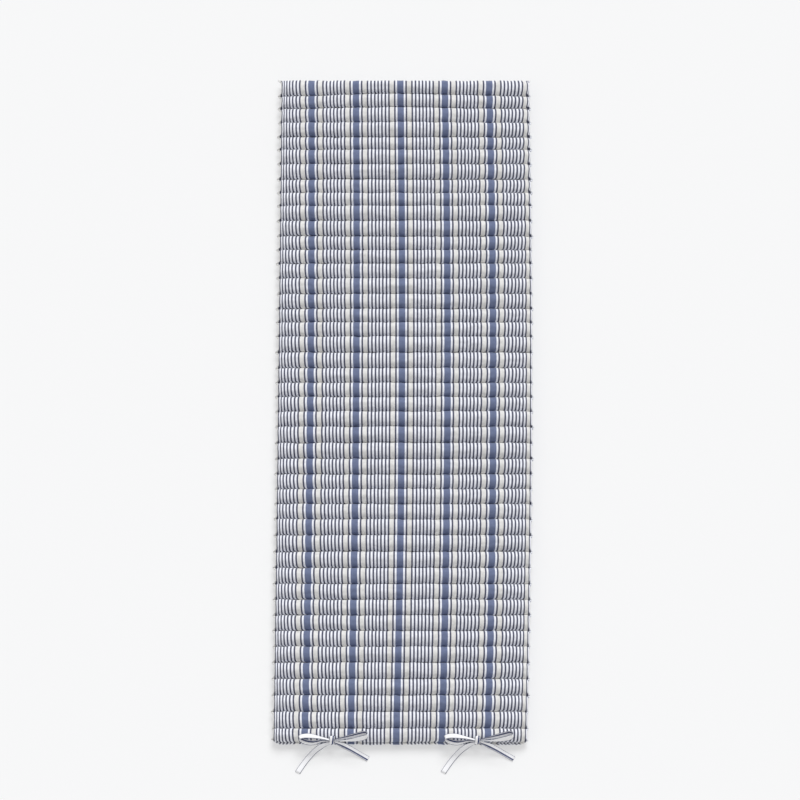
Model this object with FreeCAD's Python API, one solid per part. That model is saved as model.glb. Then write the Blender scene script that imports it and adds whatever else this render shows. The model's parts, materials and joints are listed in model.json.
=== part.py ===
import FreeCAD, Part
import math
import os

# A channel-quilted roll-up mattress with two fabric ties at its foot end, lying flat.
# X runs across the width, Y along the length with the foot end at -Y, and Z up.
# The origin is on the surface the mattress lies on, under the middle of its quilted body.
# Each channel is a tube of striped cover stuffed with its own roll of fill, and each quilting
# seam between two channels is a hinge line at half the height of the mattress.

# Driving dimensions, in millimetres
WIDTH = 600.0
LENGTH = 1750.0
THICKNESS = 35.0
CHANNELS = 44
SEAM_HEIGHT = 17.0          # the quilting seams lie at half height
PITCH_SPREAD = 0.08         # channels are this share wider at the foot, and narrower at the head
FOOT_CHANNEL = 0.84         # the first channel's share of the width that its place would give it
HEAD_CHANNEL = 1.09         # and the last channel's

# The channels aren't evenly full: they swell and shrink in waves along the length, which are
# stronger and closer together towards the head end.
WAVE_AT_FOOT = 0.01         # share that a channel gains or loses in a wave, at the foot end
WAVE_AT_HEAD = 0.10
WAVE_START = -2.4           # half waves at the head end, where the count starts
WAVE_COUNT = 26.6           # half waves there would be if they stayed as close as at the head
WAVE_SLOWING = -11.2        # half waves lost by the foot end, because they grow longer

SEAM_GAP = 0.3              # clear space between two neighbouring channels at their seam
FLANK_ANGLE = 70.0          # how steeply a channel rises from its seam, in degrees
FLANK_RISE = 6.0            # height of that steep flank
FLATTENING = 1.0            # how much of each channel's round underside is pressed flat
END_LENGTH = 28.0           # stretch at each side edge over which a channel closes to its seam
END_SHOULDER = (9.0, 11.5)  # a point of that rounding: in from the side edge, up from the seam

RIBBON = 13.0               # width of the tie ribbon
TIE_PLACES = {"left": -166.0, "right": 178.0}
KNOT_CENTRE = (-874.6, 30.1)
KNOT_ANGLE = 49.0           # the knot leans on the front slope of the first channel
KNOT_LENGTH = 18.0
KNOT_THICKNESS = 9.0
KNOT_ROUNDING = 3.5
LOOP_ANGLE = 35.0           # the loops lie flatter than the knot
LOOP_LIFT = 2.0             # and stand this much further off the slope
LOOP_THICKNESS = 9.0
LOOP_BASE = 8.0             # width of a loop where it enters the knot
LOOP_SHOULDER = 0.68        # where along its length a loop is widest
LOOPS = {
    # name: side, length, greatest width, upward lean in degrees
    "loop_a": (-1, 70.0, 24.0, 5.0),
    "loop_b": (1, 82.0, 26.0, 9.0),
}

# Routes of the two loose tails, from the knot to the cut end, relative to the knot in X
TAILS = {
    "tail_a": [
        (-5.0, -887.0, 22.0),
        (-18.0, -894.5, 15.0),
        (-37.0, -908.0, 9.0),
        (-59.0, -929.0, 7.2),
        (-80.0, -951.0, 6.8),
    ],
    "tail_b": [
        (6.0, -887.5, 22.0),
        (23.0, -892.0, 16.5),
        (45.0, -898.0, 10.5),
        (67.0, -906.5, 7.2),
        (86.0, -914.5, 6.8),
    ],
}

made = []


def save(name, shape):
    """Write one node's STEP file, after making sure that it is one sound solid."""
    if not shape.isValid() or len(shape.Solids) != 1:
        raise ValueError(f"{name} is not one valid solid")
    shape.exportStep(f"parts/{name}.step")
    made.append((name, shape.Volume))


def point(x, y, z):
    return FreeCAD.Vector(x, y, z)


def seam_places():
    """Y of every channel boundary, from the foot edge to the head edge."""
    parts = []
    for number in range(1, CHANNELS + 1):
        from_head = (CHANNELS - number) / (CHANNELS - 1)
        steady = 1 + PITCH_SPREAD * (2 * from_head - 1)
        half_waves = WAVE_START + WAVE_COUNT * from_head + WAVE_SLOWING * from_head ** 2
        swing = WAVE_AT_FOOT * from_head + WAVE_AT_HEAD * (1 - from_head)
        parts.append(steady * (1 - swing * math.cos(math.pi * half_waves)))
    parts[0] *= FOOT_CHANNEL
    parts[-1] *= HEAD_CHANNEL
    places = [-LENGTH / 2]
    for part in parts:
        places.append(places[-1] + LENGTH * part / sum(parts))
    return places


def side_outline():
    """The mattress seen along Y: flat underneath, rounded to a seam at both side edges."""
    inset, rise = END_SHOULDER
    half = WIDTH / 2
    shoulder = half - END_LENGTH
    drop = SEAM_HEIGHT * rise / (THICKNESS - SEAM_HEIGHT)
    top_right = Part.Arc(
        point(half, 0, SEAM_HEIGHT),
        point(half - inset, 0, SEAM_HEIGHT + rise),
        point(shoulder, 0, THICKNESS),
    )
    top_left = Part.Arc(
        point(-shoulder, 0, THICKNESS),
        point(inset - half, 0, SEAM_HEIGHT + rise),
        point(-half, 0, SEAM_HEIGHT),
    )
    low_left = Part.Arc(
        point(-half, 0, SEAM_HEIGHT),
        point(inset - half, 0, SEAM_HEIGHT - drop),
        point(-shoulder, 0, 0),
    )
    low_right = Part.Arc(
        point(shoulder, 0, 0),
        point(half - inset, 0, SEAM_HEIGHT - drop),
        point(half, 0, SEAM_HEIGHT),
    )
    top = Part.LineSegment(point(shoulder, 0, THICKNESS), point(-shoulder, 0, THICKNESS))
    bottom = Part.LineSegment(point(-shoulder, 0, 0), point(shoulder, 0, 0))
    curves = [top_right, top, top_left, low_left, bottom, low_right]
    return Part.Wire([curve.toShape() for curve in curves])


def channel(start, end, outline):
    """One stuffed channel between two seams: a lens-shaped tube, closed at both side edges."""
    middle = (start + end) / 2
    reach = (end - start - SEAM_GAP) / 2
    flank = reach - FLANK_RISE / math.tan(math.radians(FLANK_ANGLE))
    high = SEAM_HEIGHT + FLANK_RISE
    low = SEAM_HEIGHT - FLANK_RISE
    x = -WIDTH / 2
    foot_tip = point(x, middle - reach, SEAM_HEIGHT)
    head_tip = point(x, middle + reach, SEAM_HEIGHT)
    upper_foot = point(x, middle - flank, high)
    upper_head = point(x, middle + flank, high)
    lower_foot = point(x, middle - flank, low)
    lower_head = point(x, middle + flank, low)
    section = [
        Part.LineSegment(foot_tip, upper_foot),
        Part.Arc(upper_foot, point(x, middle, THICKNESS), upper_head),
        Part.LineSegment(upper_head, head_tip),
        Part.LineSegment(head_tip, lower_head),
        Part.Arc(lower_head, point(x, middle, -FLATTENING), lower_foot),
        Part.LineSegment(lower_foot, foot_tip),
    ]
    wire = Part.Wire([curve.toShape() for curve in section])
    tube = Part.Face(wire).extrude(point(WIDTH, 0, 0))
    ends = Part.Face(outline).extrude(point(0, end - start, 0))
    ends.translate(point(0, start, 0))
    return tube.common(ends)


def on_slope(shape, x, degrees, lift):
    """Lean a flat shape back by some degrees and carry it to a knot, lifted off its own plane."""
    y, z = KNOT_CENTRE
    angle = math.radians(degrees)
    shape.rotate(point(0, 0, 0), point(1, 0, 0), degrees)
    shape.translate(point(x, y - lift * math.sin(angle), z + lift * math.cos(angle)))
    return shape


def knot(x):
    """The knot of a bow: a soft-edged block with the ribbon's width."""
    corner = point(-RIBBON / 2, -KNOT_LENGTH / 2, -KNOT_THICKNESS / 2)
    block = Part.makeBox(RIBBON, KNOT_LENGTH, KNOT_THICKNESS, corner)
    long_edges = [
        edge
        for edge in block.Edges
        if abs(edge.Vertexes[0].X - edge.Vertexes[-1].X) > RIBBON / 2
    ]
    return on_slope(block.makeFillet(KNOT_ROUNDING, long_edges), x, KNOT_ANGLE, 0)


def loop(x, side, length, width, lean):
    """The outer shape of one ribbon loop: a teardrop that starts at the knot's side face."""
    low = -LOOP_THICKNESS / 2
    shoulder = length * LOOP_SHOULDER
    base_low = point(0, -LOOP_BASE / 2, low)
    base_high = point(0, LOOP_BASE / 2, low)
    wide_low = point(side * shoulder, -width / 2, low)
    wide_high = point(side * shoulder, width / 2, low)
    edges = [
        Part.LineSegment(base_low, wide_low),
        Part.Arc(wide_low, point(side * length, 0, low), wide_high),
        Part.LineSegment(wide_high, base_high),
        Part.LineSegment(base_high, base_low),
    ]
    wire = Part.Wire([edge.toShape() for edge in edges])
    drop = Part.Face(wire).extrude(point(0, 0, LOOP_THICKNESS))
    drop.rotate(point(0, 0, 0), point(0, 0, 1), side * lean)
    behind_face = Part.makeBox(2 * RIBBON, 4 * RIBBON, LOOP_THICKNESS)
    behind_face.translate(point(-RIBBON * (1 + side), -2 * RIBBON, low))
    drop = drop.cut(behind_face)
    drop.translate(point(side * RIBBON / 2, 0, 0))
    return on_slope(drop, x, LOOP_ANGLE, LOOP_LIFT)


def tube(name, route):
    """A ribbon tail as a plain round tube: straight runs joined by arcs as large as they allow."""
    edges = []
    radii = []
    here = route[0]
    for before, corner, after in zip(route, route[1:], route[2:]):
        first = corner - before
        second = after - corner
        tangent = 0.45 * min(first.Length, second.Length)
        half_turn = first.getAngle(second) / 2
        radius = tangent / math.tan(half_turn)
        first.normalize()
        second.normalize()
        arc_start = corner - first * tangent
        arc_end = corner + second * tangent
        inward = second - first
        inward.normalize()
        arc_middle = corner + inward * (radius / math.cos(half_turn) - radius)
        edges.append(Part.LineSegment(here, arc_start).toShape())
        edges.append(Part.Arc(arc_start, arc_middle, arc_end).toShape())
        radii.append(round(radius))
        here = arc_end
    edges.append(Part.LineSegment(here, route[-1]).toShape())
    path = Part.Wire(edges)
    section = Part.Wire([Part.makeCircle(RIBBON / 2, route[0], route[1] - route[0])])
    solid = path.makePipeShell([section], True, True)
    ideal = math.pi * RIBBON**2 / 4 * path.Length
    print(f"{name}: {path.Length:.1f} mm long, bend radii {radii},",
          f"volume {solid.Volume / ideal:.4f} of section times length")
    return solid


os.makedirs("parts", exist_ok=True)

# The quilted body: channel 1 is the foot end, the last channel is the head end
places = seam_places()
outline = side_outline()
for number, (start, end) in enumerate(zip(places, places[1:]), 1):
    save(f"channel_{number:02d}", channel(start, end, outline))

# The two ties, each a knot with two loops and two loose tails
for side_name, x in TIE_PLACES.items():
    save(f"tie_{side_name}_knot", knot(x))
    for loop_name, (side, length, width, lean) in LOOPS.items():
        save(f"tie_{side_name}_{loop_name}", loop(x, side, length, width, lean))
    for tail_name, points in TAILS.items():
        node = f"tie_{side_name}_{tail_name}"
        save(node, tube(node, [point(x + px, py, pz) for px, py, pz in points]))

print("nodes:", len(made), "total volume in litres:", round(sum(v for _, v in made) / 1e6, 3))
print("seams at Y:", [round(y, 2) for y in places[1:-1]])
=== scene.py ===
# %% [markdown]
# # A roll-up mattress in striped ticking
#
# The object is a thin mattress sewn across its width into 44 stuffed channels, with two fabric
# ties at its foot end. Its seams, rows and moving bodies come from a finished CAD frame, which
# this lesson reads before it gives every piece its cloth, its stitching and its colour. Only the
# fall of the cloth and the run of the tape are given. X runs across the width, Y from the
# foot to the head, and Z up.

# %% Load the frame
import json
import math
import bpy
import numpy as np
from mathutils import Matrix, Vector, noise

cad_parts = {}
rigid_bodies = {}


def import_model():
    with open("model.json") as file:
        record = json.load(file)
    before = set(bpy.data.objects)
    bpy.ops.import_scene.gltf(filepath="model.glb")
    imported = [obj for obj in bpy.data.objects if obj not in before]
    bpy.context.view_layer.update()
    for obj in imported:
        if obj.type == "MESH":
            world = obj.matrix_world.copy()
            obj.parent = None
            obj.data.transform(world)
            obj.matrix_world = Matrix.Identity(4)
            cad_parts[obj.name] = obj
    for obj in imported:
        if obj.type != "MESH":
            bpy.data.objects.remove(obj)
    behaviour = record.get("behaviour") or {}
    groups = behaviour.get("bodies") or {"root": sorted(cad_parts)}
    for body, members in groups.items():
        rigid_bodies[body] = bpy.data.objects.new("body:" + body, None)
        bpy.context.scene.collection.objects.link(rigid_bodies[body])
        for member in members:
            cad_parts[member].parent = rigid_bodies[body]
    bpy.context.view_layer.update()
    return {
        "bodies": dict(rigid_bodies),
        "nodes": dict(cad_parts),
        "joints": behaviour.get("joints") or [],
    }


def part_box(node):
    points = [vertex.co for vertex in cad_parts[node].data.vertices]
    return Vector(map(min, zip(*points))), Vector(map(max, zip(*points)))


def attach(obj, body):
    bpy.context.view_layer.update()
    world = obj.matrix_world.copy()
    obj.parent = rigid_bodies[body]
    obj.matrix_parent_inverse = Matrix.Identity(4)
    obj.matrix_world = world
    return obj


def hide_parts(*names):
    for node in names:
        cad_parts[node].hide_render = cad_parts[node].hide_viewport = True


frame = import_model()
bpy.ops.object.select_all(action="DESELECT")

# %% [markdown]
# ## The seams and rows
#
# A quilting seam is a line of stitching that pins the top cloth to the bottom cloth. The frame
# has a hinge on every seam, so the hinges say where the seams are, and a row is what lies between
# two of them. Reading them from the frame keeps the cloth and the moving parts together: when
# the mattress is rolled up, every row turns about its own stitching.

# %% Read the seams and rows
mm = 0.001
row_nodes = sorted(name for name in frame["nodes"] if name.startswith("channel_"))
row_bodies = sorted(name for name in frame["bodies"] if name.startswith("row_"))
foot_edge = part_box(row_nodes[0])[0].y
head_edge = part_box(row_nodes[-1])[1].y
seams = sorted(joint["pos_m"][1] for joint in frame["joints"])
edges = [foot_edge] + seams + [head_edge]
seam_height = frame["joints"][0]["pos_m"][2]
half_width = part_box(row_nodes[0])[1].x
half_length = head_edge
print(len(row_nodes), "rows,", len(seams), "seams at height", round(seam_height, 4))

# %% [markdown]
# ## Camera
#
# The mattress is seen from above and from its foot end, with hardly any perspective: lines that
# are parallel on the object stay parallel in the view. A camera that stands far off with a very
# long lens shows it that way. It stays an ordinary lens and not a flat projection, so that it
# can be moved round the object and still keep its distance from it.

# %% Place the camera
view_height = math.radians(64.0)
view_width = 1.9025   # metres across the view, at the aim
view_distance = 60.0
aim = Vector((-0.005, 0.0254, seam_height))

camera_data = bpy.data.cameras.new("camera")
camera_data.lens = camera_data.sensor_width * view_distance / view_width
camera_data.clip_end = 200.0
camera = bpy.data.objects.new("camera", camera_data)
bpy.context.collection.objects.link(camera)
backward = Vector((0, -math.cos(view_height), math.sin(view_height)))
camera.location = aim + backward * view_distance
camera.rotation_euler = (-backward).to_track_quat("-Z", "Y").to_euler()
bpy.context.scene.camera = camera
bpy.context.scene.view_settings.view_transform = "Standard"
print("lens", round(camera_data.lens), "mm")

# %% [markdown]
# ## Floor and light
#
# A plain pale floor and soft light keep the eye on the cloth. One wide, high light stands beyond
# the head end and a little to the right, so that each row is bright on its head side and darker
# towards the next seam, and the foot edge throws a short soft shadow. The rest is even light
# from all round. The floor glows a little, like a lit backdrop, which keeps shadows faint.

# %% Lay the floor and hang the lights
bpy.ops.mesh.primitive_plane_add(size=60, location=(0, 0, 0))
floor = bpy.context.object
floor.name = "floor"
floor_paint = bpy.data.materials.new("floor_paint")
floor_paint.use_nodes = True
floor_shader = floor_paint.node_tree.nodes["Principled BSDF"]
floor_shader.inputs["Base Color"].default_value = (0.545, 0.545, 0.545, 1)
floor_shader.inputs["Emission Color"].default_value = (1, 1, 1, 1)
floor_shader.inputs["Emission Strength"].default_value = 0.385
floor_shader.inputs["Roughness"].default_value = 0.9
floor_shader.inputs["Specular IOR Level"].default_value = 0.1
floor.data.materials.append(floor_paint)

room = bpy.data.worlds.new("room")
bpy.context.scene.world = room
room.use_nodes = True
room.node_tree.nodes["Background"].inputs["Color"].default_value = (1, 1, 1, 1)
room.node_tree.nodes["Background"].inputs["Strength"].default_value = 0.58

light_data = bpy.data.lights.new("head_light", "SUN")
light_data.energy = 1.82
light_data.color = (0.965, 0.975, 1.0)
light_data.angle = math.radians(35)
head_light = bpy.data.objects.new("head_light", light_data)
bpy.context.collection.objects.link(head_light)
light_from = Vector((0.16, 0.72, 0.85))
head_light.rotation_euler = light_from.to_track_quat("Z", "Y").to_euler()
print("light from", [round(a, 2) for a in light_from.normalized()])

# %% [markdown]
# ## The ties
#
# Each tie is one length of narrow cotton tape, stitched to the foot seam at its middle and tied
# in a bow: a knot, two loops and two loose tails. Tape is flat, so each piece is a thin strip
# swept along a smooth curve, and the curve's points are the route that the tape takes. A strip
# also needs to know which way it faces, so every route point carries the direction that its
# face looks in.

# %% Sizes of the tape
tape_width = 13 * mm
tape_thickness = 0.8 * mm
tie_places = {"left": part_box("tie_left_knot"), "right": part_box("tie_right_knot")}
tie_x = {side: (low.x + high.x) / 2 for side, (low, high) in tie_places.items()}
knot_centre_y = (tie_places["left"][0].y + tie_places["left"][1].y) / 2
knot_centre_z = (tie_places["left"][0].z + tie_places["left"][1].z) / 2
print("ties at", {side: round(x, 3) for side, x in tie_x.items()})


# %% A smooth route through listed points
def smooth_route(points):
    """The line a limp tape takes past these points: a NURBS curve, read back as a list."""
    curve = bpy.data.curves.new("route", "CURVE")
    curve.dimensions = "3D"
    curve.resolution_u = 8
    spline = curve.splines.new("NURBS")
    spline.points.add(len(points) - 1)
    for place, p in zip(spline.points, points):
        place.co = (*p, 1)
    spline.order_u = 3
    spline.use_endpoint_u = True
    holder = bpy.data.objects.new("route", curve)
    bpy.context.collection.objects.link(holder)
    bpy.context.view_layer.update()
    line = bpy.data.meshes.new_from_object(holder)
    route = [v.co.copy() for v in line.vertices]
    bpy.data.objects.remove(holder)
    bpy.data.curves.remove(curve)
    bpy.data.meshes.remove(line)
    return route


# %% A flat strip along a route
def strip(name, points, faces, pinch=(), cup=0.06, width=tape_width, mirror=False):
    """A tape swept along a smooth route. faces: the way its face looks, spread along the route.
    pinch: which ends are gathered narrow, 0 for the first end and 1 for the last.
    mirror: swap the two edges of the woven pattern."""
    route = smooth_route(points)
    count = len(route)
    across = 6
    verts = []
    for i, here in enumerate(route):
        ahead = (route[min(i + 1, count - 1)] - route[max(i - 1, 0)]).normalized()
        share = i / (count - 1)
        slot = min(int(share * (len(faces) - 1)), len(faces) - 2)
        blend = share * (len(faces) - 1) - slot
        face = Vector(faces[slot]).lerp(Vector(faces[slot + 1]), blend)
        side = ahead.cross(face).normalized()
        face = side.cross(ahead).normalized()
        spread = width
        for end in pinch:
            near = min(1.0, abs(share - end) * 3.2)
            spread *= 0.5 + 0.5 * near * near * (3 - 2 * near)
        for layer in (1, -1):
            for j in range(across):
                t = (j / (across - 1) - 0.5) * layer
                bow = cup * width * (0.25 - t * t) * 4
                offset = side * (t * spread) + face * (bow + layer * tape_thickness / 2)
                verts.append(here + offset)
    ring = 2 * across
    quads = []
    corners = []
    for i in range(count - 1):
        for j in range(ring):
            k = (j + 1) % ring
            quads.append((i * ring + j, i * ring + k, (i + 1) * ring + k, (i + 1) * ring + j))
            u0, u1 = j / ring, (j + 1) / ring
            if mirror:
                last = across - 1 if j < across else ring + across - 1
                u0, u1 = (last - j) / ring, (last - j - 1) / ring
            v0, v1 = i / (count - 1), (i + 1) / (count - 1)
            corners += [(u0, v0), (u1, v0), (u1, v1), (u0, v1)]
    for start, flip in ((0, True), ((count - 1) * ring, False)):
        for j in range(across - 1):
            quad = (start + j, start + j + 1, start + ring - 2 - j, start + ring - 1 - j)
            quads.append(quad[::-1] if flip else quad)
            corners += [(0.25, 0.5)] * 4
    mesh = bpy.data.meshes.new(name)
    mesh.from_pydata(verts, [], quads)
    layer = mesh.uv_layers.new(name="tape")
    layer.data.foreach_set("uv", [value for corner in corners for value in corner])
    mesh.shade_smooth()
    piece = bpy.data.objects.new(name, mesh)
    bpy.context.collection.objects.link(piece)
    return piece, route


def length_of(route):
    return sum((b - a).length for a, b in zip(route, route[1:]))


# %% [markdown]
# ### Tails
#
# The tails leave the knot, fall over the foot edge and lie on the floor. Both ends are cut off
# plain. Left of each knot the tape shows its pale face, right of it the face with the dark stripe.

# %% Lay the tails
tail_routes = {
    # along X from the knot, then Y and Z, in metres
    "tail_a": [
        (-0.003, -0.8800, 0.0275),
        (-0.017, -0.8815, 0.0200),
        (-0.034, -0.8870, 0.0090),
        (-0.048, -0.8985, 0.0025),
        (-0.066, -0.9210, 0.0014),
        (-0.081, -0.9465, 0.0014),
    ],
    "tail_b": [
        (0.004, -0.8795, 0.0290),
        (0.020, -0.8815, 0.0225),
        (0.043, -0.8885, 0.0120),
        (0.065, -0.8990, 0.0040),
        (0.086, -0.9110, 0.0014),
    ],
}
tail_faces = {
    "tail_a": [(-0.5, -0.75, 0.45), (-0.4, -0.5, 0.8), (0, 0, 1), (0, 0, 1)],
    "tail_b": [(-0.1, 0.8, -0.65), (-0.2, 0.5, -0.85), (0, 0, -1), (0, 0, -1)],
}
bow_pieces = []
tails = {}
for side, x in tie_x.items():
    for tail, points in tail_routes.items():
        name = f"{side}_{tail}"
        placed = [(x + px, py, pz) for px, py, pz in points]
        faces = tail_faces[tail]
        piece, route = strip(name, placed, faces, pinch=(0,), mirror=tail == "tail_b")
        tails[name] = (piece, route)
        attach(piece, row_bodies[0])
        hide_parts(f"tie_{side}_{tail}")
        bow_pieces.append(piece)
        print(name, round(length_of(route), 4), "m long")

# %% [markdown]
# ### Loops
#
# A loop starts and ends in the knot. The loops lean back over the first row, and each is a band
# that stands partly on edge. The left loops lean so that one sees the outside of the upper
# strand and the inside of the lower one, and the right loops lean the other way. Their points
# are set in the loop's own plane: out from the knot, up the slope and off it, and then the turn
# of the tape in degrees: at 0 the tape stands on edge, and at 90 it lies flat in the plane.

# %% Shape the loops
lean = math.radians(35)
up_slope = Vector((0, math.cos(lean), math.sin(lean)))
off_slope = Vector((0, -math.sin(lean), math.cos(lean)))
loop_routes = {
    "loop_a": (-1, [
        (0.005, 0.0010, 0.0040, -30),
        (0.020, 0.0050, 0.0060, -36),
        (0.035, 0.0085, 0.0070, -48),
        (0.049, 0.0110, 0.0075, -54),
        (0.063, 0.0115, 0.0065, -46),
        (0.0765, 0.0085, 0.0055, -50),
        (0.0745, 0.0020, 0.0050, -58),
        (0.0630, -0.0035, 0.0045, -62),
        (0.0480, -0.0065, 0.0040, -60),
        (0.0350, -0.0045, 0.0035, -54),
        (0.0200, -0.0005, 0.0030, -48),
        (0.005, -0.0015, 0.0025, -46),
    ]),
    "loop_b": (1, [
        (0.005, 0.0010, 0.0020, 40),
        (0.020, 0.0040, 0.0030, 56),
        (0.036, 0.0075, 0.0040, 70),
        (0.052, 0.0110, 0.0045, 76),
        (0.067, 0.0150, 0.0050, 74),
        (0.0805, 0.0185, 0.0065, 64),
        (0.0840, 0.0115, 0.0080, 66),
        (0.0750, 0.0065, 0.0090, 74),
        (0.0600, 0.0035, 0.0090, 70),
        (0.0430, 0.0010, 0.0085, 58),
        (0.0240, -0.0005, 0.0065, 40),
        (0.005, -0.0010, 0.0045, 24),
    ]),
}
loops = {}
for side, x in tie_x.items():
    knot_centre = Vector((x, knot_centre_y, knot_centre_z))
    for loop, (way, points) in loop_routes.items():
        name = f"{side}_{loop}"
        placed = [
            knot_centre + Vector((way * u, 0, 0)) + up_slope * v + off_slope * w
            for u, v, w, _ in points
        ]
        faces = []
        for i, (_, _, _, turn) in enumerate(points):
            ahead = placed[min(i + 1, len(placed) - 1)] - placed[max(i - 1, 0)]
            turned = off_slope * math.cos(math.radians(turn)) + up_slope * math.sin(math.radians(turn))
            faces.append(turned.cross(ahead).normalized() * way)
        piece, route = strip(name, placed, faces, pinch=(0, 1), cup=0.03)
        loops[name] = (piece, route)
        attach(piece, row_bodies[0])
        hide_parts(f"tie_{side}_{loop}")
        bow_pieces.append(piece)
        print(name, round(length_of(route), 4), "m long")

# %% [markdown]
# ### Knots
#
# The knot is the same tape wound once round the middle of the bow. It is a band, slightly
# hollow across its width, round a small gathered core, and below it the tape runs down to the
# foot seam, where it is stitched on.

# %% Wind the knots
knot_lean = math.radians(49)
knot_up = Vector((0, math.cos(knot_lean), math.sin(knot_lean)))
knot_off = Vector((0, -math.sin(knot_lean), math.cos(knot_lean)))
for side, x in tie_x.items():
    centre = Vector((x, knot_centre_y, knot_centre_z))
    turns = 24
    points = []
    faces = []
    for i in range(turns + 1):
        angle = 2 * math.pi * i / turns + 0.5
        outward = knot_up * math.cos(angle) + knot_off * math.sin(angle)
        flat = knot_up * (8.6 * mm * math.cos(angle)) + knot_off * (5.6 * mm * math.sin(angle))
        slant = Vector((1.2 * mm * math.cos(angle), 0, 0))
        points.append(centre + flat + slant)
        faces.append(-outward)
    band, _ = strip(f"{side}_knot_band", points, faces, cup=-0.12, width=0.95 * tape_width)
    seam_place = Vector((x, foot_edge - 0.4 * mm, seam_height - 1.5 * mm))
    down = [
        centre - knot_up * 5.5 * mm + knot_off * 1.0 * mm,
        centre - knot_up * 9.0 * mm + knot_off * 0.5 * mm,
        seam_place + Vector((0, -1.6 * mm, 5.0 * mm)),
        seam_place,
    ]
    anchor, _ = strip(f"{side}_knot_anchor", down, [(0, -1, 0.5), (0, -1, 0.2)], pinch=(0,))
    bpy.ops.object.select_all(action="DESELECT")
    bpy.ops.mesh.primitive_uv_sphere_add(segments=24, ring_count=16, radius=1, location=centre)
    core = bpy.context.object
    core.scale = (5.6 * mm, 7.8 * mm, 4.4 * mm)
    core.rotation_euler = (knot_lean, 0, 0)
    bpy.ops.object.transform_apply(location=True, rotation=True, scale=True)
    core.data.uv_layers[0].name = "tape"
    for part in (band, anchor, core):
        part.select_set(True)
    bpy.context.view_layer.objects.active = band
    bpy.ops.object.join()
    band.name = f"{side}_knot"
    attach(band, row_bodies[0])
    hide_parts(f"tie_{side}_knot")
    bow_pieces.append(band)
    bpy.ops.object.select_all(action="DESELECT")

for side in tie_x:
    for tail in tail_routes:
        piece, route = tails[f"{side}_{tail}"]
    for loop in loop_routes:
        piece, route = loops[f"{side}_{loop}"]

# %% [markdown]
# ## The stuffed rows
#
# Cloth that is sewn flat and then stuffed becomes shorter: the cloth of one row is cut about
# four tenths longer than the distance between its seams, and the filling takes up the rest. That
# extra cloth is what rounds the rows and crumples them at the side edges. So each row starts as two
# layers of cloth, already bowed up and down, whose cut size is stored beside its shape, and a
# cloth simulation with inner pressure finds how it settles between its stitched edges.

# %% How the cloth is cut and sewn
columns = 112                 # mesh squares across the mattress
steps = 12                    # mesh squares from one seam to the next, on each face
fullness = math.radians(80)   # how steeply the stuffed cloth rises from a seam, on average
fuller = math.radians(20)     # and how much that changes from row to row
cloth_left = -303.0 * mm      # side edges of the flat cloth, from the middle blue stripe
cloth_right = 318.0 * mm
end_rounding = 30 * mm        # stretch over which a row closes at its side edge
gather = 4.8 * mm             # the stitching draws the cloth in towards the middle by this much
ear = 9 * mm                  # but not in the last stretch, which stays flat as a small ear
ear_half = 5.5 * mm           # half the height of an ear along Y, where it leaves the row
turned_under = {-1: 0.0, 1: 3.6 * mm}   # cloth folded under at the tip of an ear
groove = 4.5 * mm             # the side seam lies this deep in the end of a row
bulge = 3.2 * mm              # between its seams, a row's cloth swells outwards by this much
corner_rise = {-1: 8 * mm, 1: 4 * mm}   # the foot row's ends are drawn in at the foot corners
map_step = 0.0585             # metres from one row to the next in the map of the flat cloth
gather_reach = 0.28           # the gather is complete this far out from the middle, in metres


def ease(share):
    """0 below 0, 1 above 1 and a smooth change between."""
    share = min(1.0, max(0.0, share))
    return share * share * (3 - 2 * share)


def wander(seed, x, size):
    """A smooth random number between about -1 and 1 that changes over this size along X."""
    return noise.noise(Vector((x / size, seed * 7.31, seed * 1.77)))


def sewn_x(u, y):
    """Where cloth coordinate u lies along X at this length. The stripes run slightly bowed, and
    the mattress is a little wider near half length than at its two ends."""
    t = y / half_length
    middle = (-0.9 + 4.8 * t - 8.4 * t * t) * mm
    return middle + u * (1.0010 - 0.0089 * t - 0.0145 * t * t)


def row_end(side, y):
    """How far out along X the stuffed end of a row reaches at this length."""
    t = y / half_length
    if side < 0:
        return (-298.9 + 8.0 * t) * mm
    return (311.0 + 4.5 * t - 10.0 * t * t) * mm


def from_side(u):
    """Distance in the flat cloth from the nearer side edge."""
    return u - cloth_left if u < 0 else cloth_right - u


def gathered(u):
    """How much of the gather reaches this place: nothing in the middle, all of it at the sides."""
    return min(1.0, abs(u) / gather_reach)


def seam_point(number, u):
    """Where cloth coordinate u is held by this seam."""
    y = edges[number]
    t = y / half_length
    inner = 0 < number < len(edges) - 1
    side = int(math.copysign(1, u))
    draw = gather * (0.85 + 0.5 * wander(number + 50, u, 0.2)) * gathered(u)
    askew = 3.2 * mm * wander(7, number, 3.1) + 1.2 * mm * wander(8, number, 0.9)
    pucker = 0.8 * mm * wander(number + 9, u, 0.018)
    x = sewn_x(u, y) - side * draw + pucker + askew
    out = (4.2 + 3.0 * max(0.0, t) if side < 0 else 2.6) * mm
    out += 2.6 * mm * wander(number + 70, side, 1.0)
    under = turned_under[side]
    tip = row_end(side, y) + side * (out - abs(from_side(u) - under))
    near_tip = ease(1.2 - from_side(u) / (2.2 * ear))
    x += (tip - x) * near_tip
    wave = (1.4 * wander(number, u, 0.15) + 1.0 * wander(number + 23, u, 0.026)) * mm
    near_head = max(0.0, 1 - (len(edges) - 1 - number) / 4)
    arch = 4.5 * mm * near_head * math.cos(math.pi * u / half_width) if inner else 0
    if number == 0:
        arch = corner_rise[side] * ease(1 - from_side(u) / end_rounding)
    curl = 1.6 * mm * wander(number + 90, side, 1.0) * near_tip
    curl -= 0.7 * max(0.0, under - from_side(u))
    return Vector((x, y + wave + arch, seam_height + curl))


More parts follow.
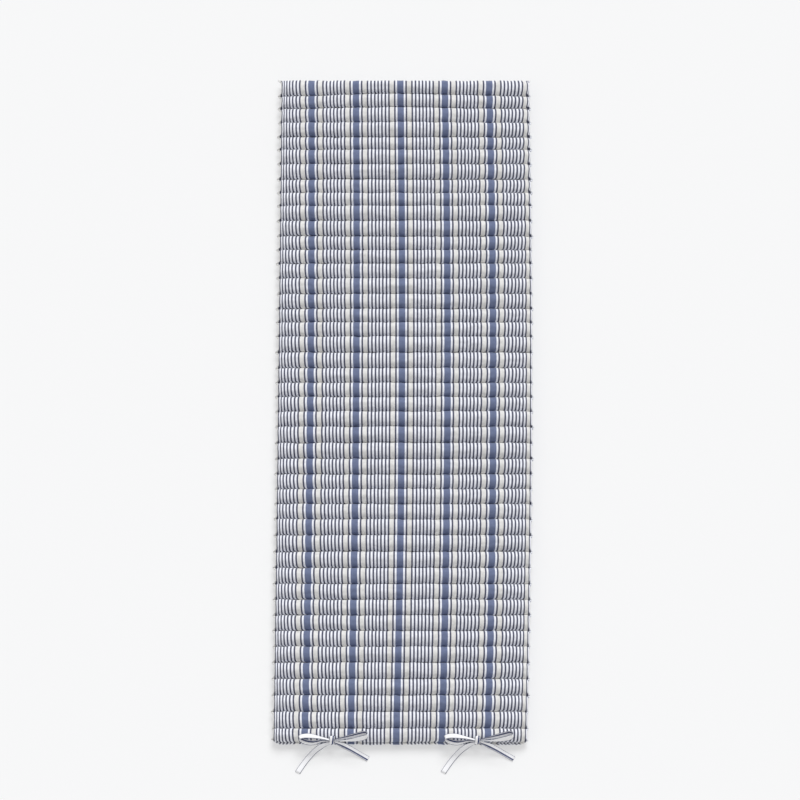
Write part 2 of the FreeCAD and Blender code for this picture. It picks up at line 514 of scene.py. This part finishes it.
# %% One row as two layers of cloth
def across(step):
    """Cloth coordinate of a mesh column: columns are closer together at the sides."""
    s = 2 * step / columns - 1
    half = (cloth_right - cloth_left) / 2
    return (cloth_left + cloth_right) / 2 + half * (1.25 * s - 0.25 * s**3)


def row_cloth(number):
    """Points, cut-size points, flat cloth coordinates, seam points and faces of one row."""
    y0, y1 = edges[number], edges[number + 1]
    pitch = y1 - y0
    rise_angle = min(math.radians(89), fullness + fuller * wander(number + 400, 0.4, 1.0))
    radius = pitch / 2 / math.sin(rise_angle)
    cut_length = 2 * radius * rise_angle
    place, cut, flat, held, index = [], [], [], [], {}
    for layer in (1, -1):
        for i in range(columns + 1):
            u = across(i)
            side = math.copysign(1.0, u)
            low, high = seam_point(number, u), seam_point(number + 1, u)
            close = max(0.0, 1 - from_side(u) / end_rounding)
            rise = math.sqrt(max(0.0, 1 - close * close))
            in_ear = from_side(u) < ear
            for j in range(steps + 1):
                border = i in (0, columns) or j in (0, steps)
                key = (0 if border else layer, i, j)
                if key in index:
                    continue
                v = 2 * j / steps - 1
                angle = rise_angle * v
                share = 0.5 + math.sin(angle) / math.sin(rise_angle) / 2
                point = low.lerp(high, share)
                if in_ear and j in (1, steps - 1):
                    seam, way = (low, 1) if j == 1 else (high, -1)
                    wide = from_side(u) / ear
                    half = ear_half * (0.75 + 0.25 * wide)
                    point = seam + Vector(((1.2 * wide - 1.8) * mm * side, way * half, 0))
                    point.z += layer * 1.2 * mm * (not border)
                    pinned = True
                else:
                    plump = radius * (math.cos(angle) - math.cos(rise_angle))
                    point.z += layer * plump * rise
                    pinned = j in (0, steps)
                    if not pinned:
                        point.x = sewn_x(u, (y0 + y1) / 2) + side * 0.15 * gather * gathered(u)
                        point.x -= side * 0.25 * end_rounding * close**2
                index[key] = len(place)
                place.append(point)
                cut_x = sewn_x(u, (y0 + y1) / 2) + side * 0.6 * gather * gathered(u)
                cut.append((cut_x, (y0 + y1) / 2 + cut_length * v / 2, seam_height))
                flat.append((u, number * map_step + cut_length * (v + 1) / 2))
                if pinned:
                    held.append(index[key])
    faces = []
    for layer in (1, -1):
        for i in range(columns):
            for j in range(steps):
                corner = []
                for a, b in ((i, j), (i + 1, j), (i + 1, j + 1), (i, j + 1)):
                    border = a in (0, columns) or b in (0, steps)
                    corner.append(index[(0 if border else layer, a, b)])
                faces.append(corner if layer > 0 else corner[::-1])
    return place, cut, flat, held, faces, cut_length


rows = [row_cloth(number) for number in range(len(row_nodes))]
print("cloth points:", sum(len(row[0]) for row in rows))

# %% [markdown]
# All rows are simulated together as one mesh. They don't disturb one another, because their
# seams are held still, and one simulation is quicker to set up than forty-four.

# %% Simulate the stuffing
def simulate():
    """Blow the rows up against their cut size and give the settled points."""
    place, cut, held, faces = [], [], [], []
    for row_place, row_cut, _, row_held, row_faces, _ in rows:
        first = len(place)
        place += row_place
        cut += row_cut
        held += [first + i for i in row_held]
        faces += [[first + i for i in face] for face in row_faces]
    mesh = bpy.data.meshes.new("cover_cloth")
    mesh.from_pydata(place, [], faces)
    cover = bpy.data.objects.new("cover_cloth", mesh)
    bpy.context.collection.objects.link(cover)
    cover.shape_key_add(name="sewn")
    cut_size = cover.shape_key_add(name="cut_size")
    cut_size.data.foreach_set("co", np.array(cut, dtype=np.float32).ravel())
    stitched = cover.vertex_groups.new(name="stitched")
    stitched.add(held, 1.0, "REPLACE")
    cloth = cover.modifiers.new("cloth", "CLOTH")
    fabric = cloth.settings
    fabric.quality = 5
    fabric.mass = 0.05
    fabric.tension_stiffness = 15
    fabric.compression_stiffness = 15
    fabric.shear_stiffness = 5
    fabric.bending_stiffness = 0.2
    fabric.use_pressure = True
    fabric.uniform_pressure_force = 4
    fabric.effector_weights.gravity = 0
    fabric.vertex_group_mass = "stitched"
    fabric.rest_shape_key = cut_size
    cloth.collision_settings.use_collision = False
    frames = 12
    cloth.point_cache.frame_end = frames
    scene = bpy.context.scene
    for number in range(1, frames + 1):
        scene.frame_set(number)
    settled = cover.evaluated_get(bpy.context.evaluated_depsgraph_get()).to_mesh()
    points = np.empty(len(settled.vertices) * 3, dtype=np.float32)
    settled.vertices.foreach_get("co", points)
    bpy.data.objects.remove(cover)
    scene.frame_set(1)
    return points.reshape(-1, 3)


settled = simulate()
print("stuffed height", round(float(settled[:, 2].max()), 4))

# %% [markdown]
# The weight of the mattress presses each row flat on the floor, so points below the floor are
# lifted on to it. Then the settled cloth is cut back into its rows. Each row keeps its place in
# the flat cloth as a UV map, which carries the stripes, and a crease along its stitched edges, so
# that smoothing doesn't round them off. The ends of the rows are drawn in to the outline. After
# smoothing come the small uneven things: lumps in the filling, long shallow folds along the row,
# and the short wrinkles that a row of stitches makes on both sides of itself. Each point also
# remembers how far it is from its seam, which sets the shade painted into the seam grooves.

# %% Cut the cloth into rows and smooth it
floor_gap = 0.3 * mm
lump_height = 1.2 * mm
lump_size = 52 * mm
wrinkle_height = 1.5 * mm
wrinkle_size = 11 * mm
hem_height = 2.2 * mm
foot_sag = 6 * mm             # the lower half of the foot edge bulges out over the floor
fold_height = 1.7 * mm

# Reaches of these effects over the cloth, in metres
wrinkle_length = 0.030        # of a wrinkle, away from its seam
wrinkle_crest = 0.0045        # where it is highest
fold_length = 0.045           # of a fold, along the row
fold_width = 0.013
flat_by_seam = 0.009          # lumps and folds fade out this close to the stitching
calm_side = 0.02              # and this close to the side edges
hem_grain = 0.008
hem_reach = 0.004
foot_reach = 0.016
# the painted seam shade is weaker near the side edges, which count as this much further from the seam
painted_shade_side_gap = 0.004        # the side edges count as this much further from the seam


def uneven(mesh, number, cut_length):
    """Lumps, wrinkles and the distance from the seam, on the smoothed cloth of one row."""
    count = len(mesh.vertices)
    points = np.empty(count * 3, dtype=np.float32)
    mesh.vertices.foreach_get("co", points)
    points = points.reshape(-1, 3)
    normals = np.empty(count * 3, dtype=np.float32)
    mesh.vertices.foreach_get("normal", normals)
    normals = normals.reshape(-1, 3)
    corners = np.empty(len(mesh.loops), dtype=np.int32)
    mesh.loops.foreach_get("vertex_index", corners)
    corner_uv = np.empty(len(mesh.loops) * 2, dtype=np.float32)
    mesh.uv_layers["cloth"].data.foreach_get("uv", corner_uv)
    flat = np.empty((count, 2), dtype=np.float32)
    flat[corners] = corner_uv.reshape(-1, 2)
    along = np.clip(flat[:, 1] - number * map_step, 0, cut_length)
    from_seam = np.minimum(along, cut_length - along)
    layer = np.sign(points[:, 2] - seam_height)
    lump = np.array([
        noise.noise(Vector((u / lump_size, w / lump_size * 1.4, 3.0 * side)))
        for (u, w), side in zip(flat, layer)
    ])
    wrinkle = np.array([
        noise.noise(Vector((u / wrinkle_size, a / wrinkle_length + 9.7 * number, 5.0 * side)))
        for u, a, side in zip(flat[:, 0], along, layer)
    ])
    folds = np.array([
        noise.noise(Vector((u / fold_length, a / fold_width + 5.3 * number, 7.0 * side)))
        for u, a, side in zip(flat[:, 0], along, layer)
    ])
    off_seam = 1 - np.exp(-(from_seam / flat_by_seam) ** 2)
    lifted = (lump_height * lump + fold_height * folds) * off_seam
    past_seam = from_seam / wrinkle_crest
    lifted += wrinkle_height * wrinkle * past_seam * np.exp(1 - past_seam)
    side_distance = np.minimum(flat[:, 0] - cloth_left, cloth_right - flat[:, 0])
    calm = np.clip(side_distance / calm_side, 0, 1)
    points += normals * (lifted * calm)[:, None]
    outer_edge = {0: along, len(row_nodes) - 1: cut_length - along}.get(number)
    if outer_edge is not None:
        hem = np.array([noise.noise(Vector((u / hem_grain, number, 0))) for u in flat[:, 0]])
        points[:, 1] += hem_height * hem * np.exp(-outer_edge / hem_reach)
    if number == 0:
        low = np.clip((seam_height - points[:, 2]) / seam_height, 0, 1)
        points[:, 1] -= foot_sag * 4 * low * (1 - low) * np.exp(-(along / foot_reach) ** 2)
    points[:, 2] = np.maximum(points[:, 2], floor_gap)
    mesh.vertices.foreach_set("co", points.ravel())
    # this distance sets the painted shade in the seam grooves
    from_stitches = from_seam + painted_shade_side_gap * (1 - calm)
    seam_distance = mesh.attributes.new("from_seam", "FLOAT", "POINT")
    seam_distance.data.foreach_set("value", from_stitches.astype(np.float32))
    mesh.update()


row_pieces = []
first = 0
for number, (place, _, flat, held, faces, cut_length) in enumerate(rows):
    points = settled[first:first + len(place)].copy()
    first += len(place)
    middle_y = (edges[number] + edges[number + 1]) / 2
    stitched = set(held)
    share = [(w - number * map_step) / cut_length for _, w in flat]
    middle_x = [points[k][0] for k in range(len(flat)) if 0.35 < share[k] < 0.65]
    reach = {-1: min(middle_x), 1: max(middle_x)}
    for k, (u, _) in enumerate(flat):
        side = int(math.copysign(1, u))
        if k not in stitched:
            swell = math.sin(math.pi * share[k])
            points[k][0] += side * bulge * gathered(u) * swell
            shift = row_end(side, middle_y) - reach[side] - side * bulge
            points[k][0] += shift * ease(1 - from_side(u) / 0.05) * swell
            if from_side(u) < 1e-6:
                points[k][0] -= side * groove * swell
    points[:, 2] = np.maximum(points[:, 2], floor_gap)
    mesh = bpy.data.meshes.new(f"row_cover_{number + 1:02d}")
    mesh.from_pydata([tuple(p) for p in points], [], faces)
    cloth_map = mesh.uv_layers.new(name="cloth")
    map_points = np.array(flat, dtype=np.float32)
    corner_points = np.array([i for face in faces for i in face])
    cloth_map.data.foreach_set("uv", map_points[corner_points].ravel())
    crease = mesh.attributes.new("crease_edge", "FLOAT", "EDGE")
    for edge in mesh.edges:
        a, b = (flat[i][1] - number * map_step for i in edge.vertices)
        on_seam = abs(a - b) < 1e-6 and (a < 1e-6 or a > cut_length - 1e-6)
        crease.data[edge.index].value = 1.0 if on_seam else 0.0
    mesh.shade_smooth()
    piece = bpy.data.objects.new(f"row_cover_{number + 1:02d}", mesh)
    bpy.context.collection.objects.link(piece)
    smooth = piece.modifiers.new("smooth", "SUBSURF")
    smooth.levels = 1
    smooth.render_levels = 1
    smooth.use_limit_surface = False
    bpy.context.view_layer.objects.active = piece
    bpy.ops.object.modifier_apply(modifier="smooth")
    uneven(piece.data, number, cut_length)
    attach(piece, row_bodies[number])
    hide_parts(row_nodes[number])
    row_pieces.append(piece)
print(len(row_pieces), "rows,", len(row_pieces[0].data.polygons), "faces each")

# %% [markdown]
# ## Cloth finishes
#
# Both fabrics are woven cotton. The ticking's weave is built as a node group: fine
# crossing threads that give a height for the bump and a slight change of shade.

# %% The weave group
def add_node(tree, kind, x, y, **settings):
    node = tree.nodes.new(kind)
    node.location = (x, y)
    for name, value in settings.items():
        setattr(node, name, value)
    return node


def make_weave():
    group = bpy.data.node_groups.new("weave", "ShaderNodeTree")
    face = group.interface
    face.new_socket("Cloth place", in_out="INPUT", socket_type="NodeSocketVector")
    face.new_socket("Threads per metre", in_out="INPUT", socket_type="NodeSocketFloat")
    face.new_socket("Height", in_out="OUTPUT", socket_type="NodeSocketFloat")
    face.new_socket("Shade", in_out="OUTPUT", socket_type="NodeSocketFloat")
    start = add_node(group, "NodeGroupInput", -900, 0)
    end = add_node(group, "NodeGroupOutput", 700, 0)
    links = group.links
    split = add_node(group, "ShaderNodeSeparateXYZ", -700, 0)
    links.new(start.outputs["Cloth place"], split.inputs[0])
    waves = []
    for row, axis in enumerate(("X", "Y")):
        scale = add_node(group, "ShaderNodeMath", -500, -200 * row, operation="MULTIPLY")
        links.new(split.outputs[axis], scale.inputs[0])
        links.new(start.outputs["Threads per metre"], scale.inputs[1])
        turn = add_node(group, "ShaderNodeMath", -320, -200 * row, operation="MULTIPLY")
        turn.inputs[1].default_value = 2 * math.pi
        links.new(scale.outputs[0], turn.inputs[0])
        wave = add_node(group, "ShaderNodeMath", -140, -200 * row, operation="SINE")
        links.new(turn.outputs[0], wave.inputs[0])
        waves.append(wave)
    cross = add_node(group, "ShaderNodeMath", 60, -80, operation="MULTIPLY")
    links.new(waves[0].outputs[0], cross.inputs[0])
    links.new(waves[1].outputs[0], cross.inputs[1])
    height = add_node(group, "ShaderNodeMath", 240, -80, operation="MULTIPLY_ADD")
    height.inputs[1].default_value = 0.5
    height.inputs[2].default_value = 0.5
    links.new(cross.outputs[0], height.inputs[0])
    links.new(height.outputs[0], end.inputs["Height"])
    slub = add_node(group, "ShaderNodeTexNoise", -140, -460)
    slub.inputs["Scale"].default_value = 90
    slub.inputs["Detail"].default_value = 4
    slub.inputs["Roughness"].default_value = 0.65
    links.new(start.outputs["Cloth place"], slub.inputs["Vector"])
    shade = add_node(group, "ShaderNodeMapRange", 240, -400)
    shade.inputs["From Min"].default_value = 0.3
    shade.inputs["From Max"].default_value = 0.7
    shade.inputs["To Min"].default_value = 0.87
    shade.inputs["To Max"].default_value = 1.11
    links.new(slub.outputs[0], shade.inputs["Value"])
    links.new(shade.outputs[0], end.inputs["Shade"])
    return group


weave = make_weave()

# %% [markdown]
# ### Striped ticking
#
# The stripes are woven in, so they follow the flat cloth and not the shape: the colour is looked
# up from the UV map across the cloth. The repeat is the same read forwards and backwards, so
# half of it is enough: a ramp runs from the middle of a wide blue stripe to the middle of the
# group of narrow ones, and folding the distance makes the mirror image.

# %% Mix the ticking
def srgb(r, g, b):
    """A colour as read off a colour chart, turned into the linear values that shaders use."""
    linear = []
    for value in (r, g, b):
        c = value / 255
        linear.append(c / 12.92 if c <= 0.04045 else ((c + 0.055) / 1.055) ** 2.4)
    return (*linear, 1)


blue = srgb(108, 118, 148)
ink = srgb(82, 84, 103)
white = srgb(240, 242, 249)
cream = srgb(231, 230, 228)
cream_line = srgb(215, 214, 211)
half_repeat = [
    # width in millimetres, colour
    (7.6, blue),
    (4.2, white),
    (4.1, ink),
    (3.1, cream),
    (0.6, cream_line),
    (2.6, cream),
    (0.6, cream_line),
    (3.1, cream),
    (4.0, ink),
    (4.5, white),
    (4.0, ink),
    (4.8, white),
    (4.0, ink),
    (4.45, white),
    (2.0, ink),
]
half_width_of_repeat = sum(width for width, _ in half_repeat) * mm


def make_ticking():
    material = bpy.data.materials.new("ticking")
    material.use_nodes = True
    tree = material.node_tree
    links = tree.links
    shader = tree.nodes["Principled BSDF"]
    shader.inputs["Roughness"].default_value = 0.9
    shader.inputs["Specular IOR Level"].default_value = 0.25
    shader.inputs["Sheen Weight"].default_value = 0.15
    cloth = add_node(tree, "ShaderNodeUVMap", -1600, 0, uv_map="cloth")
    split = add_node(tree, "ShaderNodeSeparateXYZ", -1400, 0)
    links.new(cloth.outputs[0], split.inputs[0])
    fold = add_node(tree, "ShaderNodeMath", -1000, 0, operation="PINGPONG")
    fold.inputs[1].default_value = half_width_of_repeat
    links.new(split.outputs["X"], fold.inputs[0])
    scale = add_node(tree, "ShaderNodeMath", -800, 0, operation="DIVIDE")
    scale.inputs[1].default_value = half_width_of_repeat
    links.new(fold.outputs[0], scale.inputs[0])
    ramp = add_node(tree, "ShaderNodeValToRGB", -600, 0)
    ramp.color_ramp.interpolation = "CONSTANT"
    stops = ramp.color_ramp.elements
    stops.remove(stops[1])
    stops[0].color = half_repeat[0][1]
    place = 0.0
    for (width, _), (_, colour) in zip(half_repeat, half_repeat[1:]):
        place += width * mm / half_width_of_repeat
        stops.new(place).color = colour
    links.new(scale.outputs[0], ramp.inputs[0])
    threads = add_node(tree, "ShaderNodeGroup", -800, -300, node_tree=weave)
    threads.inputs["Threads per metre"].default_value = 900
    links.new(cloth.outputs[0], threads.inputs["Cloth place"])
    # painted shade: the cloth colour darkens to 0.6 within 3 mm of a seam, standing in for the shadow
    # deep in the stitched groove
    seam_distance = add_node(tree, "ShaderNodeAttribute", -800, 300, attribute_name="from_seam")
    painted_groove_shade = add_node(tree, "ShaderNodeMapRange", -600, 300)
    painted_groove_shade.inputs["From Min"].default_value = 0.0004
    painted_groove_shade.inputs["From Max"].default_value = 0.0030
    painted_groove_shade.inputs["To Min"].default_value = 0.6
    painted_groove_shade.inputs["To Max"].default_value = 1.0
    links.new(seam_distance.outputs["Fac"], painted_groove_shade.inputs["Value"])
    shade = add_node(tree, "ShaderNodeMath", -400, 200, operation="MULTIPLY")
    links.new(painted_groove_shade.outputs[0], shade.inputs[0])
    links.new(threads.outputs["Shade"], shade.inputs[1])
    tint = add_node(tree, "ShaderNodeMix", -200, 0, data_type="RGBA", blend_type="MULTIPLY")
    tint.inputs["Factor"].default_value = 1.0
    links.new(ramp.outputs[0], tint.inputs["A"])
    links.new(shade.outputs[0], tint.inputs["B"])
    links.new(tint.outputs["Result"], shader.inputs["Base Color"])
    bump = add_node(tree, "ShaderNodeBump", -200, -300)
    bump.inputs["Strength"].default_value = 0.25
    bump.inputs["Distance"].default_value = 0.0003
    links.new(threads.outputs["Height"], bump.inputs["Height"])
    links.new(bump.outputs["Normal"], shader.inputs["Normal"])
    return material


ticking = make_ticking()
for piece in row_pieces:
    piece.data.materials.append(ticking)

# %% [markdown]
# ### Tie tape
#
# The tape's UV map runs once round it: the first half is one face, the second half the other.
# One face is pale with a thin line along both edges, the other has a dark line near one edge.

# %% Mix the tape
def make_tape():
    material = bpy.data.materials.new("tie_tape")
    material.use_nodes = True
    tree = material.node_tree
    links = tree.links
    shader = tree.nodes["Principled BSDF"]
    shader.inputs["Roughness"].default_value = 0.85
    shader.inputs["Specular IOR Level"].default_value = 0.25
    tape = add_node(tree, "ShaderNodeUVMap", -1200, 0, uv_map="tape")
    split = add_node(tree, "ShaderNodeSeparateXYZ", -1000, 0)
    links.new(tape.outputs[0], split.inputs[0])
    ramp = add_node(tree, "ShaderNodeValToRGB", -700, 0)
    ramp.color_ramp.interpolation = "CONSTANT"
    line = srgb(112, 116, 134)
    dark = srgb(66, 74, 112)
    pale = srgb(252, 252, 254)
    stops = ramp.color_ramp.elements
    stops[0].position, stops[0].color = 0.0, line
    stops[1].position, stops[1].color = 0.035, pale
    for place, colour in ((0.385, line), (0.53, pale), (0.57, dark), (0.69, pale), (0.89, line)):
        stops.new(place).color = colour
    links.new(split.outputs["X"], ramp.inputs[0])
    links.new(ramp.outputs[0], shader.inputs["Base Color"])
    return material


tie_tape = make_tape()
for piece in bow_pieces:
    piece.data.materials.clear()
    piece.data.materials.append(tie_tape)
